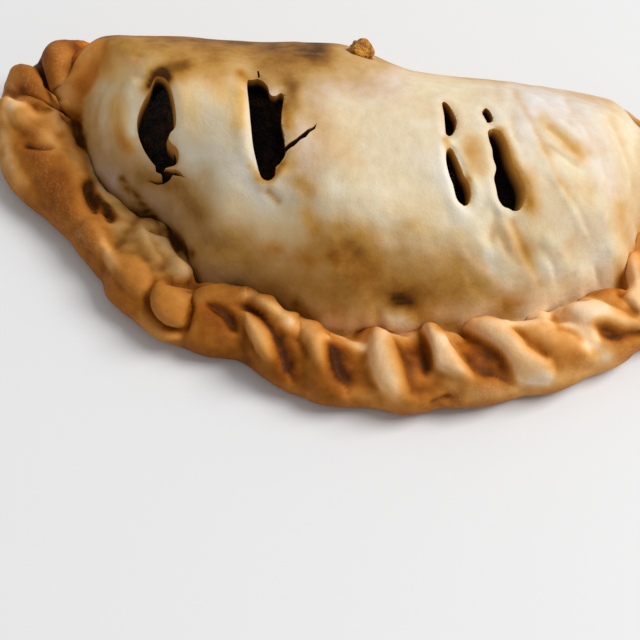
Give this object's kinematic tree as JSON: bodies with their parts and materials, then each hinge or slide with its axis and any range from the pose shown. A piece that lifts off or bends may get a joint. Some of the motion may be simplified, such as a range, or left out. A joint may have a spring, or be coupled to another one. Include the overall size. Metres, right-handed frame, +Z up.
{
  "type": "calzone",
  "caption": "Half-moon of thin baked dough folded over a filling, with a pinched rope edge, a domed top and slits that show the dark filling.",
  "frame": {"origin": "on the table, under the middle of the calzone", "axes": "+X along its length towards its right end, +Y towards the straight fold at its back, +Z up"},
  "size_m": [0.1829, 0.0981, 0.0414],
  "materials": {
    "crust": "dry baked dough, pale cream on top and golden brown on the folds",
    "filling": "moist dark brown meat and sauce",
    "filling_crumb": "rough orange-brown baked crumb"
  },
  "bodies": {
    "root": {"crust": "crust", "filling": "filling", "filling_crumb": "filling_crumb"}
  },
  "joints": []
}
